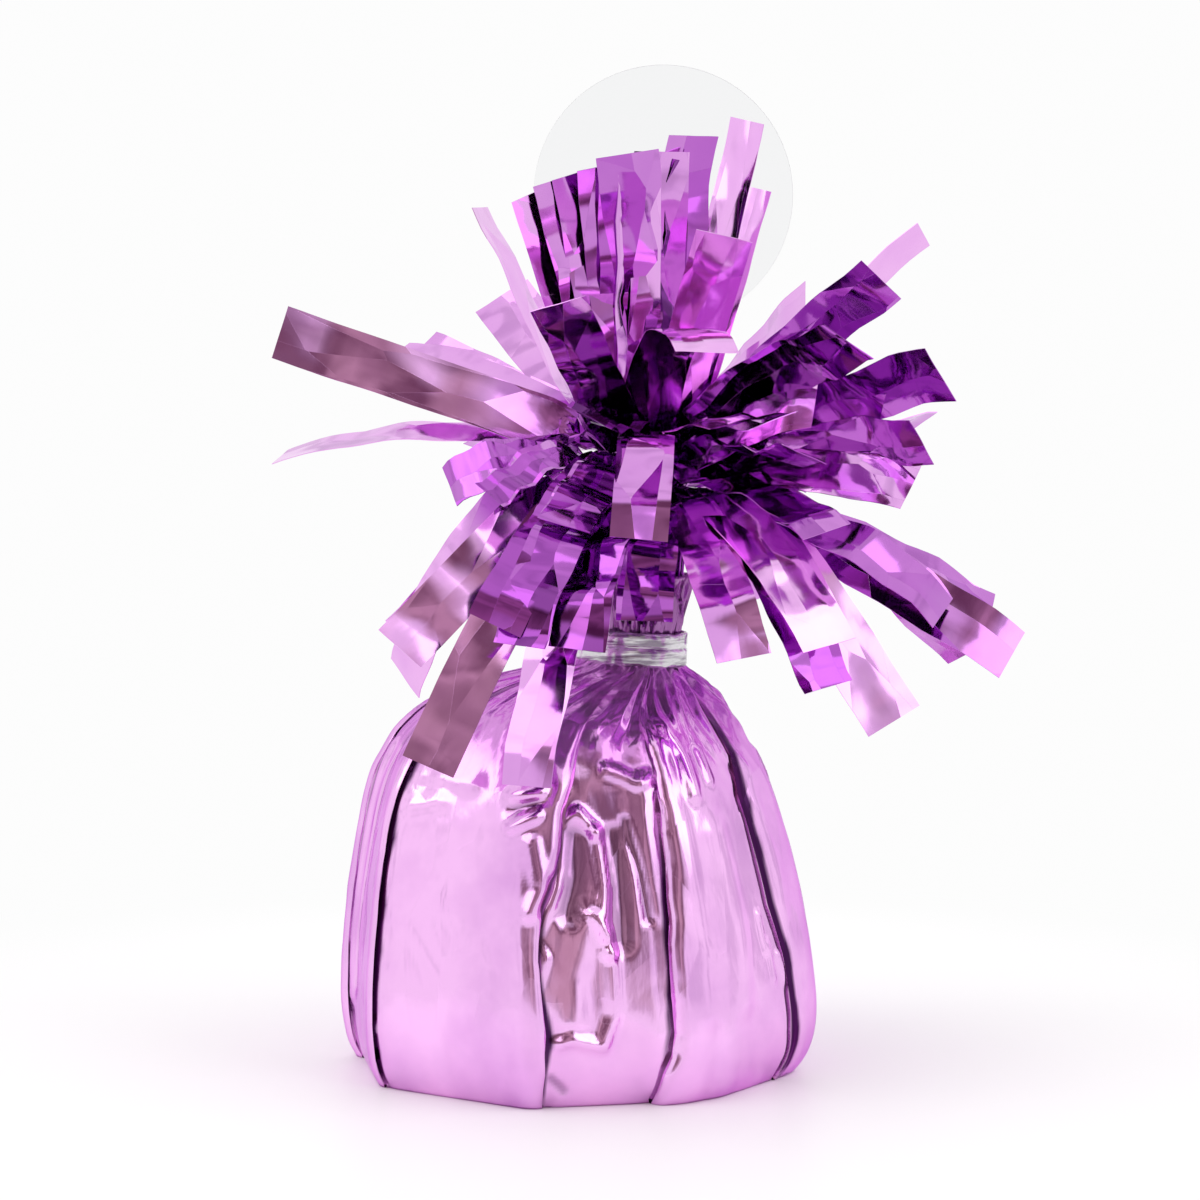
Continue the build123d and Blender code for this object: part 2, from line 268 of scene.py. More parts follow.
panel_folds = {0: front_folds, 1: right_folds, 6: far_left_folds, 7: left_folds}

headings = np.radians(FIRST_CORNER + 360 * np.arange(SIDES) / SIDES)
corner_x, corner_y = radius * np.cos(headings), radius * np.sin(headings)
side_length = 2 * radius * math.sin(HALF_SIDE)
columns_x, columns_y, columns_fold_shade, columns_gathered_shade = [], [], [], []
for panel in range(SIDES):
    # a panel runs from lip to lip, a little past the line where it laps over
    after = (panel + 1) % SIDES
    laps_first, laps_last = not lips[panel][0], lips[after][0]
    ragged = 0.7 + 0.6 * crumple(7 * panel, height, 5, 4.5, panel + 3)
    lip = LIP * ragged / side_length
    first = lip_line(lips[panel], 1) - lip * laps_first
    last = lip_line(lips[after], 1) + lip * laps_last + (SIDES if after == 0 else 0)
    share = (0.5 - 0.5 * np.cos(np.linspace(0, math.pi, COLUMNS)))[None, :]
    place = first + (last - first) * share

    # the film is drawn from corner to corner, and rounds each corner
    softness = np.interp(place % SIDES, range(SIDES + 1), corner_softness)
    base_x, base_y, out_x, out_y = (np.zeros(place.shape) for _ in range(4))
    for blur in np.linspace(-1, 1, BLURS):
        at = place + softness * blur
        whole = np.floor(at).astype(int)
        part = at - whole
        near, far = whole % SIDES, (whole + 1) % SIDES
        for end, weight in ((near, 1 - part), (far, part)):
            base_x += np.take_along_axis(corner_x, end, 1) * weight
            base_y += np.take_along_axis(corner_y, end, 1) * weight
        out_x += np.cos(headings[near] + HALF_SIDE)
        out_y += np.sin(headings[near] + HALF_SIDE)
    facing = np.hypot(out_x, out_y)

    # it drapes loosely and takes its folds, flat at the floor and smooth at the tie
    across = (place - panel - 0.5) * side_length
    drape = (0.3 if laps_last else 0.6) * (crumple(across, height, 7.0, 13.0, 11 + panel) - 0.5)
    drape = drape + 0.2 * (crumple(across, height, 3.4, 6.0, 31 + panel) - 0.5)
    # painted shade: deep dips, and the strip of panel under each lip, are darkened toward near black
    fold_shade = np.zeros(place.shape)
    flip, drop = (1, 0) if panel in panel_folds else ((-1) ** panel, 2.5 * (panel - 3))
    for points, width, rise in panel_folds.get(panel, back_folds):
        fold = crease(flip * across, height + drop, points, width)
        drape = drape + rise * fold
        if rise < SHADED_DIP:
            fold_shade = np.maximum(fold_shade, 0.5 * fold)
    drape = drape * np.clip(height / 3, 0.12, 1) * np.clip((60 - height) / 8, 0, 1)

    # a lapping edge turns in on the panel below it, which dips under the lip and is darkened there with
    # painted shade
    out = PANEL_LIFT * (laps_first * (1 - share) + laps_last * share) - PANEL_SINK
    out = out + 0.18 * side_length * np.clip(np.maximum(panel - place, place - panel - 1), 0, 0.3)
    for laps, lip_gap, edge in (
        (laps_first, (place - first) * side_length, lips[panel]),
        (laps_last, (last - place) * side_length, lips[after]),
    ):
        if laps:
            out = out + (LIP_REST - out) * np.clip(1 - lip_gap / LIP_TURN, 0, 1) ** 2
        else:
            out = out - 0.4 * np.clip(1.4 - lip_gap / 2.4, 0, 1)
            drape = drape * np.clip((lip_gap - LIP) / 2, 0.1, 1)
            under = np.clip(2.2 - 2.2 * (lip_gap - LIP * ragged) / (edge[1] * ragged), 0, 1)
            fold_shade = np.maximum(fold_shade, under * lip_line(edge, 2))
    out = (out + drape) * np.clip(radius / FLAT_RADIUS, 0.12, 1)
    columns_x.append(base_x / BLURS + out * out_x / facing)
    columns_y.append(base_y / BLURS + out * out_y / facing)
    columns_fold_shade.append(fold_shade * np.clip((56 - height) / 3, 0, 1) * np.clip(height / 2, 0, 1))
    # painted shade and reflection: on the gathered shoulder and the neck the film is tinted a deeper purple
    # and made less metallic, standing in for its reflections of itself
    gather_foot = 46.0 if laps_first and laps_last else 41.0
    ragged_foot = 2 * crumple(across, height, 5, 4, 51 + panel)
    columns_gathered_shade.append(np.clip((height - gather_foot) / 3 - ragged_foot, 0, 1))
wall_x, wall_y = np.hstack(columns_x), np.hstack(columns_y)
wall_fold_shade, wall_gathered_shade = np.hstack(columns_fold_shade), np.hstack(columns_gathered_shade)
# painted shade: the collar above the tie is darkened all round
wall_fold_shade = np.maximum(wall_fold_shade, 0.55 * (height > COLLAR_FOOT))

# the film lies on the slug, given by height and radius, where a fold would reach into it
slug_line = [(0, 30.7), (8, 33.0), (25, 31.4), (42, 27.4), (SLUG_TOP, 24.3)]
slug_radius = np.interp(height, *zip(*slug_line)) * (height < SLUG_TOP)
wall_x = wall_x + NECK_SHIFT * shift
gauge = np.max([wall_x * math.cos(h) + wall_y * math.sin(h) for h in headings + HALF_SIDE], axis=0)
push = np.maximum(1, (slug_radius * math.cos(HALF_SIDE) + FILM_GAP) / gauge)
wall_x, wall_y = wall_x * push - NECK_SHIFT * shift, wall_y * push

# toward the neck it turns round and gathers in sharp folds, and the neck leans to the right
bearing = np.arctan2(wall_y, wall_x)
from_axis = np.hypot(wall_x, wall_y)
ring_radius = radius * math.cos(HALF_SIDE) * 1.04
from_axis = from_axis + roundness * (ring_radius - from_axis) * 0.85
turn = bearing / (2 * math.pi)
folds = np.abs(((turn * GATHERS + 0.3 * np.sin(3 * bearing + height / 4)) % 1) * 2 - 1)
fine_folds = np.abs(((turn * FINE_GATHERS + 0.5 * np.sin(5 * bearing + height / 3)) % 1) * 2 - 1)
facets = crumple(turn * 110, height, 4.0, 3.2, 77)
bunching = GATHER_DEPTH * (folds - 0.5) + FINE_DEPTH * (fine_folds - 0.5) + CRUSH_DEPTH * (facets - 0.5)
from_axis = from_axis + gather * bunching
flat_x, flat_y = from_axis * np.cos(bearing), from_axis * np.sin(bearing)
lean = NECK_LEAN * shift
up = np.clip(height - NECK_FOOT, 0, None)
wall = np.stack([
    NECK_SHIFT * shift + flat_x * np.cos(lean) + up * np.sin(lean),
    flat_y,
    np.minimum(height, NECK_FOOT) - flat_x * np.sin(lean) + up * np.cos(lean),
], axis=2)
wall[0, :, 2] = 0

# the collar's rim turns in and goes down to the crown that the strips stand on
neck_point = Vector((NECK_SHIFT, 0, NECK_FOOT))
neck_up = Vector((math.sin(NECK_LEAN), 0, math.cos(NECK_LEAN)))
neck_right = Vector((math.cos(NECK_LEAN), 0, -math.sin(NECK_LEAN)))
rim_centre = np.array(neck_point + neck_up * COLLAR_TOP)
well_centre = np.array(neck_point + neck_up * (NECK_TOP + 0.1))
inner = rim_centre + (wall[-1] - rim_centre) * 0.97
well = well_centre + (inner - rim_centre) * 0.82


def ring_faces(low, high):
    """Faces between two closed rings, given by the numbers of their points."""
    return np.stack([low, np.roll(low, -1), np.roll(high, -1), high], axis=1).tolist()


def make_piece(name, points, faces, edges=()):
    """A smooth piece in the scene, made of these points, faces and loose edges."""
    mesh = bpy.data.meshes.new(name)
    mesh.from_pydata(points, edges, faces)
    mesh.shade_smooth()
    piece = bpy.data.objects.new(name, mesh)
    bpy.context.scene.collection.objects.link(piece)
    return piece


rows, count = wall.shape[:2]
points = np.concatenate([wall.reshape(-1, 3), inner, well, well_centre[None], [[0, 0, 0]]]) * MM
ring = np.arange(count)
turned = np.roll(ring, -1)
faces = []
for row in range(rows + 1):
    faces += ring_faces(ring + row * count, ring + (row + 1) * count)
top = (rows + 1) * count
faces += np.stack([ring + top, turned + top, 0 * ring + top + count], axis=1).tolist()
faces += np.stack([turned, ring, 0 * ring + top + count + 1], axis=1).tolist()
pouch = make_piece("foil_pouch", points.tolist(), faces)
# painted shade, kept on the points: in the folds, under the lips, on the collar, and in full down the well
fold_shade_values = np.concatenate([wall_fold_shade.ravel(), np.zeros(count), np.ones(count + 1), [0]])
pouch.data.attributes.new("fold_shade", "FLOAT", "POINT").data.foreach_set("value", fold_shade_values)
# painted shade and reflection on the gathered shoulder, the collar and the well, varied by the facets
gathered_shade_values = np.concatenate([(wall_gathered_shade * (0.6 + 0.4 * facets)).ravel(), np.ones(2 * count + 1), [0]])
pouch.data.attributes.new("gathered_shade", "FLOAT", "POINT").data.foreach_set("value", gathered_shade_values)


def mix_colours(tree, share, one, other, **options):
    """Colour that goes from one to the other as the share goes from 0 to 1."""
    sockets = {"Factor": share, "A": one, "B": other}
    return add_node(tree, "ShaderNodeMix", sockets, data_type="RGBA", **options).outputs["Result"]


def map_range(tree, value, first, last, low=0.0, high=1.0, **options):
    """Number that goes from first to last while a value goes from low to high."""
    sockets = {"Value": value, "From Min": low, "From Max": high, "To Min": first, "To Max": last}
    return add_node(tree, "ShaderNodeMapRange", sockets, **options).outputs["Result"]


def reckon_vector(tree, operation, *values, result="Vector"):
    """Result of one step of arithmetic on vectors."""
    node = add_node(tree, "ShaderNodeVectorMath", dict(enumerate(values)), operation=operation)
    return node.outputs[result]


def facet_height(tree, spot, cells, tilt):
    """Height of flat facets, one to a cell, each tilted its own way about the cell's middle."""
    in_cell = reckon_vector(tree, "SUBTRACT", spot, cells.outputs["Position"])
    chance = reckon_vector(tree, "SUBTRACT", cells.outputs["Color"], (0.5, 0.5, 0.5))
    slope = reckon_vector(tree, "MULTIPLY", chance, tilt)
    return reckon_vector(tree, "DOT_PRODUCT", in_cell, slope, result="Value")


film, tree, shader = start_finish("pouch_film")
place = add_node(tree, "ShaderNodeTexCoord").outputs["Object"]
cloud = add_noise(tree, place, scale=70, detail=5)
tint = add_ramp(tree, cloud, (0.3, (0.76, 0.39, 0.79)), (0.6, (0.95, 0.54, 0.94)))
# painted shade: the film's colour is darkened toward near black in the folds, under the lips, on the collar
# and in the well
fold_shade = add_node(tree, "ShaderNodeAttribute", attribute_name="fold_shade").outputs["Fac"]
# painted shade and reflection: the gathered film's colour is mixed toward a deeper purple
gathered_shade = add_node(tree, "ShaderNodeAttribute", attribute_name="gathered_shade").outputs["Fac"]
shaded_purple = mix_colours(tree, gathered_shade, tint, (0.68, 0.27, 0.72, 1))
stretch = add_node(tree, "ShaderNodeMapping", {"Vector": place, "Scale": (1.0, 1.0, 0.3)}).outputs["Vector"]
wrinkle = add_noise(tree, stretch, scale=420, detail=3)
ripple = add_node(tree, "ShaderNodeBump", {"Height": wrinkle, "Strength": 0.22, "Distance": 0.0003})
cells = add_node(tree, "ShaderNodeTexVoronoi", {"Vector": stretch, "Scale": 190})
dents = facet_height(tree, stretch, cells, (1, 1, 1))
dented = add_node(tree, "ShaderNodeBump", {
    "Height": dents, "Strength": 0.16, "Distance": 1.0, "Normal": ripple.outputs["Normal"]})
set_sockets(tree, shader, {
    "Base Color": mix_colours(tree, fold_shade, shaded_purple, (0.05, 0.012, 0.065, 1)),
    "Metallic": map_range(tree, gathered_shade, 1.0, 0.75),
    "Roughness": map_range(tree, cloud, 0.24, 0.04),
    "Specular Tint": (0.82, 0.5, 0.86, 1),
    "Normal": dented.outputs["Normal"],
})
pouch.data.materials.append(film)
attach(pouch, "weight")
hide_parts("foil_wrap")

# Neck band. Two turns of clear glossy tape are wound tight round the gathered neck, one a little
# over the other, with uneven edges.
BAND_WIDTH = 4.8
BAND_INSIDE = 7.25
BAND_WALL = 0.62
BAND_MIDDLE = BAND_WIDTH / 2
EDGE_ZONE = 1.7
BAND_STEPS = 180

# section of the two turns: height on the band, and share of the wall
band_line = [
    (0.0, 0.0), (0.0, 0.75), (0.5, 1.0), (1.4, 0.92), (2.2, 1.0), (2.55, 0.9), (2.7, 0.55), (2.85, 0.8),
    (3.3, 0.9), (3.9, 0.82), (4.5, 0.9), (4.8, 0.7), (4.8, 0.0), (2.4, 0.0),
]
angles = np.linspace(0, 2 * math.pi, BAND_STEPS + 1)[:-1]
ring = np.arange(BAND_STEPS)
points, faces = [], []
for level, (along, depth) in enumerate(band_line):
    wave = 0.10 * np.sin(3 * angles + along) + 0.06 * np.sin(11 * angles + 2.1 * along)
    edge_wave = 0.16 * np.sin(7 * angles) + 0.1 * np.sin(17 * angles + 1)
    edge_wave = edge_wave * (abs(along - BAND_MIDDLE) > EDGE_ZONE)
    out = BAND_INSIDE + BAND_WALL * depth * (1 + 0.5 * wave)
    rise = along + (edge_wave + 0.5 * wave) * (depth > 0) * (1 if along < BAND_MIDDLE else -1)
    rise = np.clip(rise, 0.0, BAND_WIDTH)
    ring_line = np.outer(out * np.cos(angles), neck_right) + np.outer(out * np.sin(angles), (0, 1, 0))
    points += ((np.array(neck_point) + ring_line + np.outer(rise, neck_up)) * MM).tolist()
    after = (level + 1) % len(band_line)
    faces += ring_faces(ring + level * BAND_STEPS, ring + after * BAND_STEPS)
band = make_piece("clear_band", points, faces)

tape, tree, shader = start_finish("clear_tape")
place = add_node(tree, "ShaderNodeTexCoord").outputs["Object"]
wound = add_node(
    tree, "ShaderNodeMapping", {"Vector": place, "Rotation": (0, NECK_LEAN, 0), "Scale": (0.12, 0.12, 1.0)})
# painted highlight and shade: along the wound streaks the tape's colour runs from dark grey to near white,
# standing in for its sheen and dark lines; the same streaks also set its roughness and bumps
streaks_and_sheen = add_noise(tree, wound.outputs["Vector"], scale=1400, detail=3)
turns = add_node(tree, "ShaderNodeBump", {"Height": streaks_and_sheen, "Strength": 0.5, "Distance": 0.0002})
set_sockets(tree, shader, {
    "Base Color": add_ramp(tree, streaks_and_sheen, (0.38, (0.36, 0.3, 0.38)), (0.56, (0.97, 0.96, 0.98))),
    "Metallic": 0.55,
    "Roughness": map_range(tree, streaks_and_sheen, 0.06, 0.22),
    "Transmission Weight": 0.6,
    "IOR": 1.48,
    "Normal": turns.outputs["Normal"],
})
band.data.materials.append(tape)
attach(band, "weight")
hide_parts("neck_band")

# Ribbon tab. A disc and stem die-cut from clear sheet stand behind the upright strips, the stem's
# tongue clamped in the neck. Both CAD solids stay: clear sheet with faint scuffs, pale at the cut edge.
clear, tree, shader = start_finish("clear_sheet")
place = add_node(tree, "ShaderNodeTexCoord").outputs["Object"]
scuffs = add_noise(tree, place, scale=260, detail=8)
set_sockets(tree, shader, {
    "Base Color": (0.925, 0.93, 0.935, 1),
    "Roughness": map_range(tree, scuffs, 0.01, 0.06, low=0.45, high=0.8),
    "Transmission Weight": 1.0,
    "IOR": 1.3,
})
cut_edge, tree, shader = start_finish("cut_edge")
set_sockets(tree, shader, {"Base Color": (0.84, 0.85, 0.86, 1), "Roughness": 0.5})
for name in ("ribbon_tab", "tab_tongue"):
    sheet_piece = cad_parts[name]
    sheet_piece.data.materials.clear()
    sheet_piece.data.materials.append(clear)
    sheet_piece.data.materials.append(cut_edge)
    for face in sheet_piece.data.polygons:
        face.material_index = int(abs(face.normal.y) < 0.5)

# Fringe. Above the tie the film is slit into strips that leave the collar as gathered stems, bend
# over and open out flat, each falling its own way. They are thin limp tongues of the same film.
STRIP_LENGTH = 67.0
STRIP_WIDTH = 7.6
STEM_BEND = 6.0
STEM_HALF = 0.75
FLARE_LENGTH = 13.0
FLARE_LEAD = 6.0
OUTER_RING = 6.4
RING_STEP = 1.0
OUTER_RISE = 14.0
RISE_STEP = 3.0
FILM_THICKNESS = 0.12
CRINKLE = 0.9
CRUSH_LEAST = 0.3
CRUSH_IN_SHADE = 1.3
CRIMPS = 3.4
SWAY = 0.7
TWIST = 0.12
ROOT_SHADE = 0.8
ROOT_SHADE_REACH = 0.4
FACET_LENGTH = 16.0
NEXT_STRIP = 500.0  # so that no two strips share their facets
STATIONS = 40
STRIP_COLUMNS = 9

# one row a strip, close to the CAD source's rows: ring, seat, heading, turn, roll, curl and share of
# the length, then its width as a share and how much painted shade darkens it; angles are in degrees
fringe_rows = [
    # upright bundle in front of the tab, from left to right
    (3, 190, 220, 29, 112, 3, 0.95, 1, 0.1),
    (3, 208, 226, 25, 116, 3, 0.96, 1, 0.3),
    (3, 226, 230, 22, 122, 3, 0.96, 1, 0.35),
    (3, 244, 236, 19, 126, 3, 0.97, 1, 0.35),
    (3, 262, 242, 16, 134, 3, 0.99, 1.2, 0.4),
    (3, 280, 259, 11, 156, 3, 0.985, 1, 0.25),
    (3, 298, 281, 9, 172, 3, 1.02, 1, 0.6),
    (2, 338, 318, 9, 88, 2, 1.06, 0.78, 0),
    (2, 180, 168, 34, 8, 4, 0.93, 0.9, 0.05),
    # left
    (2, 196, 186, 76, 75, 6, 1.08, 1, 0),
    (1, 170, 168, 78, 20, -36, 1.05, 0.85, 0.05),
    (2, 164, 162, 58, 40, -45, 0.95, 1, 0.1),
    (2, 148, 138, 77, 48, 8, 0.95, 1.1, 0.15),
    (2, 130, 124, 60, 40, 8, 0.92, 1.2, 0.15),
    # lower left
    (0, 224, 222, 130, 54, -10, 0.9, 1, 0.05),
    (1, 238, 249, 110, 20, -45, 0.93, 1, 0.5),
    (0, 245, 249, 104, 5, -52, 0.87, 1, 0.65),
    (0, 235, 234, 136, 25, -30, 1.07, 1, 0),
    (0, 258, 245, 139, -4, -30, 1.06, 1, 0.2),
    (0, 268, 255, 110, 0, -52, 0.83, 1, 0.7),
    (0, 172, 168, 140, 60, -35, 0.97, 1.15, 0),
    # front
    (1, 270, 269, 42, 0, -122, 0.88, 1, 0.35),
    (2, 242, 244, 48, -23, -15, 0.86, 1, 0.2),
    (2, 267, 270, 22, -12, -92, 1.06, 1.1, 0),
    (0, 279, 270, 122, 0, -56, 0.7, 1, 0.7),
    (2, 297, 294, 23, 24, -30, 0.93, 1, 0.05),
    # right
    (2, 9, 8, 42, 40, -4, 1.04, 0.9, 0),
    (2, 324, 332, 46, 55, -8, 0.95, 1, 0.5),
    (2, 310, 320, 51, 45, -34, 0.96, 1.1, 0.75),
    (1, 340, 344, 55, 60, -42, 0.96, 1.15, 0.6),
    (1, 327, 330, 74, 55, -24, 0.91, 1, 0.6),
    (1, 314, 320, 84, -50, -20, 0.87, 1, 0.05),
    (2, 281, 290, 74, -20, -16, 0.93, 1, 0.35),
    # lower right
    (0, 289, 291, 118, -15, -40, 0.82, 1, 0.2),
    (1, 284, 303, 93, -15, -16, 0.9, 1, 0.4),
    (0, 311, 309, 122, -20, -30, 0.89, 1, 0.45),
    (0, 322, 326, 130, -40, -25, 0.97, 1.15, 0.05),
    (0, 340, 348, 114, -55, -12, 1.03, 1.1, 0.35),
    (0, 353, 3, 108, -40, -12, 0.97, 1.05, 0.4),
    (0, 8, 18, 116, 25, -14, 1.0, 1, 0.3),
    # between those, in front and at the sides
    (0, 300, 307, 107, -15, -38, 0.86, 1.15, 0),
    (2, 353, 348, 10, 120, 3, 0.93, 0.85, 0),
    (1, 205, 203, 92, 40, -40, 0.66, 1, 0.5),
    (1, 221, 219, 88, 20, -50, 0.63, 1, 0.55),
    (1, 254, 252, 88, 10, -60, 0.7, 1, 0.6),
    (0, 331, 338, 100, -30, -36, 0.88, 1, 0.4),
    (1, 353, 354, 82, 30, -26, 0.76, 1, 0.5),
    (1, 299, 306, 72, 20, -24, 0.8, 1, 0.6),
    # back
    (2, 50, 52, 50, 70, -6, 0.9, 1, 0.1),
    (0, 38, 32, 106, 20, -22, 1.0, 1, 0.2),
    (0, 38, 50, 122, -15, -16, 1.0, 1, 0.4),
    (0, 81, 70, 106, 25, -24, 1.0, 1, 0.2),
    (0, 81, 92, 124, -20, -16, 1.0, 1, 0.4),
    (0, 124, 114, 108, 20, -22, 1.0, 1, 0.2),
    (0, 124, 134, 122, -25, -16, 1.0, 1, 0.1),
    (1, 51, 38, 74, 30, -16, 1.0, 1, 0.3),
    (1, 51, 62, 86, -25, -20, 1.0, 1, 0.5),
    (1, 103, 88, 74, 20, -18, 1.0, 1, 0.3),
    (1, 103, 116, 84, -20, -20, 1.0, 1, 0.3),
    (2, 92, 80, 60, -25, -10, 1.0, 1, 0.4),
    (2, 92, 106, 58, 20, -10, 1.0, 1, 0.4),
    # tongues that the CAD source leaves out, within the upright bundle and the core
    (3, 199, 224, 24, 120, 4, 0.9, 0.6, 0.3),
    (3, 217, 229, 21, 145, 4, 0.93, 0.5, 0),
    (3, 253, 240, 15, 105, 4, 0.95, 0.7, 0.2),
    (3, 271, 252, 12, 165, 4, 0.96, 0.5, 0.1),
    (3, 289, 272, 9, 130, 4, 0.97, 0.6, 0.85),
    (2, 256, 258, 58, 15, -50, 0.72, 0.9, 0.9),
    (1, 300, 307, 56, -58, -30, 0.72, 1.1, 0.05),
]
crown_point = neck_point + neck_up * NECK_TOP
back = Vector((0, 1, 0))


def on_stem(root, out, rise, bend):
    """Point of a strip's stem where it has bent that far over from upright."""
    return root + out * (STEM_BEND * (1 - math.cos(bend))) + neck_up * (rise + STEM_BEND * math.sin(bend))


centre_points, centre_edges, face_normals, half_widths, shades, runs = [], [], [], [], [], []
for number, (ring, seat, heading, turn, roll, curl, length, width, shade) in enumerate(fringe_rows, start=1):
    seat, heading, turn, roll, curl = (math.radians(a) for a in (seat, heading, turn, roll, curl))
    spread = OUTER_RING - RING_STEP * ring
    rise = OUTER_RISE + RISE_STEP * ring
    root = crown_point + neck_right * (spread * math.cos(seat)) + back * (spread * math.sin(seat))
    out = neck_right * math.cos(heading) + back * math.sin(heading)
    sideways = out.cross(neck_up)
    course = out * math.sin(turn) + neck_up * math.cos(turn)
    upper = sideways.cross(course)
    across = sideways * math.cos(roll) + upper * math.sin(roll)
    lift = across.cross(course)
    stem_end = on_stem(root, out, rise, turn)
    stem_length = rise + STEM_BEND * turn
    blade_length = STRIP_LENGTH * length - stem_length
    bow = blade_length / curl
    first = len(centre_points)
    for station in range(STATIONS):
        # the stem stands up, bends over and goes on as the curled blade
        run = STRIP_LENGTH * length * station / (STATIONS - 1)
        if run < rise:
            spot, ahead = root + neck_up * run, neck_up
        elif run < stem_length:
            bend = (run - rise) / STEM_BEND
            spot = on_stem(root, out, rise, bend)
            ahead = out * math.sin(bend) + neck_up * math.cos(bend)
        else:
            bend = curl * (run - stem_length) / blade_length
            spot = stem_end + course * (bow * math.sin(bend)) + lift * (bow * (1 - math.cos(bend)))
            ahead = course * math.cos(bend) + lift * math.sin(bend)

        # the blade opens out flat, rolls its own way and is crimped, more so deep in the fringe
        opening = min(max((run - stem_length + FLARE_LEAD) / FLARE_LENGTH, 0), 1)
        opening = opening * opening * (3 - 2 * opening)
        past_stem = max(run - stem_length, 0) / blade_length
        crushed = opening * (CRUSH_LEAST + CRUSH_IN_SHADE * shade)
        crimp = abs((CRIMPS * past_stem + 0.37 * number) % 1 * 2 - 1) - 0.5
        spin = opening * roll + TWIST * crushed * math.sin(3.1 * number + 5 * past_stem)
        sway = crushed * (SWAY * math.sin(1.7 * number + 6.5 * past_stem) + crimp)
        level = sideways - ahead * sideways.dot(ahead)
        if run >= stem_length:
            level = across - ahead * across.dot(ahead)
            spin -= roll
        face = (Matrix.Rotation(spin, 3, ahead) @ level.normalized()).cross(ahead)
        centre_points.append((spot + face * sway) * MM)
        face_normals.append(face)
        half_widths.append((STEM_HALF + (width * STRIP_WIDTH / 2 - STEM_HALF) * opening) * MM)
        # painted shade: each strip is darkened near its root, and at least as much as its row gives all along
        shades.append(max(shade, ROOT_SHADE * (1 - past_stem / ROOT_SHADE_REACH)))
        runs.append(run + NEXT_STRIP * number)
        if station:
            centre_edges.append((first + station - 1, first + station))
fringe = make_piece("fringe", centre_points, [], centre_edges)
for name, kind, values in (
    ("face", "FLOAT_VECTOR", np.array(face_normals).ravel()),
    ("half_width", "FLOAT", half_widths),
    ("shade", "FLOAT", shades),
    ("along", "FLOAT", runs),
):
    stored = fringe.data.attributes.new(name, kind, "POINT")
    stored.data.foreach_set("vector" if kind == "FLOAT_VECTOR" else "value", values)


def reckon(tree, operation, *values, **options):
    """Result of one step of arithmetic on numbers."""
    node = add_node(tree, "ShaderNodeMath", dict(enumerate(values)), operation=operation, **options)
    return node.outputs["Value"]


strip_film, tree, shader = start_finish("strip_film")
place = add_node(tree, "ShaderNodeTexCoord").outputs["Object"]
cloud = add_noise(tree, place, scale=110, detail=4)
tint = add_ramp(tree, cloud, (0.3, (0.82, 0.42, 0.86)), (0.7, (0.90, 0.50, 0.91)))
# painted shade: the shade attribute darkens the film's colour toward violet and near black, mottled cell by
# cell
depth = add_node(tree, "ShaderNodeAttribute", attribute_name="shade").outputs["Fac"]
along = add_node(tree, "ShaderNodeAttribute", attribute_name="along").outputs["Fac"]
across = add_node(tree, "ShaderNodeAttribute", attribute_name="across").outputs["Fac"]
lengthwise = reckon(tree, "MULTIPLY", along, 1 / FACET_LENGTH)
on_strip = add_node(tree, "ShaderNodeCombineXYZ", {"X": lengthwise, "Y": across}).outputs["Vector"]
cells = add_node(tree, "ShaderNodeTexVoronoi", {"Vector": on_strip, "Scale": 1.0}, voronoi_dimensions="2D")
patchy = map_range(tree, cells.outputs["Color"], 0.45, 1.3)
shade_amount = reckon(tree, "MULTIPLY", depth, patchy, use_clamp=True)
shade_ramp = add_ramp(tree, shade_amount, (0, (1, 1, 1)), (0.5, (0.52, 0.23, 0.63)), (1, (0.12, 0.05, 0.16)))
strength = map_range(tree, depth, 0.1, 0.75)
creases = facet_height(tree, on_strip, cells, (0.016, 0.0038, 0))
ripple = add_node(tree, "ShaderNodeBump", {"Height": creases, "Strength": strength, "Distance": 1.0})
set_sockets(tree, shader, {
    "Base Color": mix_colours(tree, 1.0, tint, shade_ramp, blend_type="MULTIPLY"),
    "Metallic": 1.0,
    "Roughness": map_range(tree, cloud, 0.04, 0.14),
    "Normal": ripple.outputs["Normal"],
})

strips = bpy.data.node_groups.new("film_strips", "GeometryNodeTree")
strips.interface.new_socket("Lines", in_out="INPUT", socket_type="NodeSocketGeometry")
thickness_in = strips.interface.new_socket("Film thickness", in_out="INPUT", socket_type="NodeSocketFloat")
columns_in = strips.interface.new_socket("Columns", in_out="INPUT", socket_type="NodeSocketInt")
crinkle_in = strips.interface.new_socket("Crinkle", in_out="INPUT", socket_type="NodeSocketFloat")
strips.interface.new_socket("Strips", in_out="OUTPUT", socket_type="NodeSocketGeometry")
given = add_node(strips, "NodeGroupInput")

# each line is swept into a flat blade as wide as it is there
to_curve = add_node(strips, "GeometryNodeMeshToCurve", {"Mesh": given.outputs["Lines"]})
read_face = add_node(strips, "GeometryNodeInputNamedAttribute", {"Name": "face"}, data_type="FLOAT_VECTOR")
read_half = add_node(strips, "GeometryNodeInputNamedAttribute", {"Name": "half_width"}, data_type="FLOAT")
set_face = add_node(
    strips, "GeometryNodeSetCurveNormal",
    {"Curve": to_curve.outputs["Curve"], "Normal": read_face.outputs["Attribute"]}, mode="FREE")
span = add_node(strips, "GeometryNodeCurvePrimitiveLine", {"Start": (0, -1, 0), "End": (0, 1, 0)})
divide = add_node(
    strips, "GeometryNodeResampleCurve", {"Curve": span.outputs["Curve"], "Count": given.outputs["Columns"]})
place = add_node(strips, "GeometryNodeInputPosition").outputs["Position"]
from_edge = add_node(strips, "ShaderNodeSeparateXYZ", {"Vector": place})
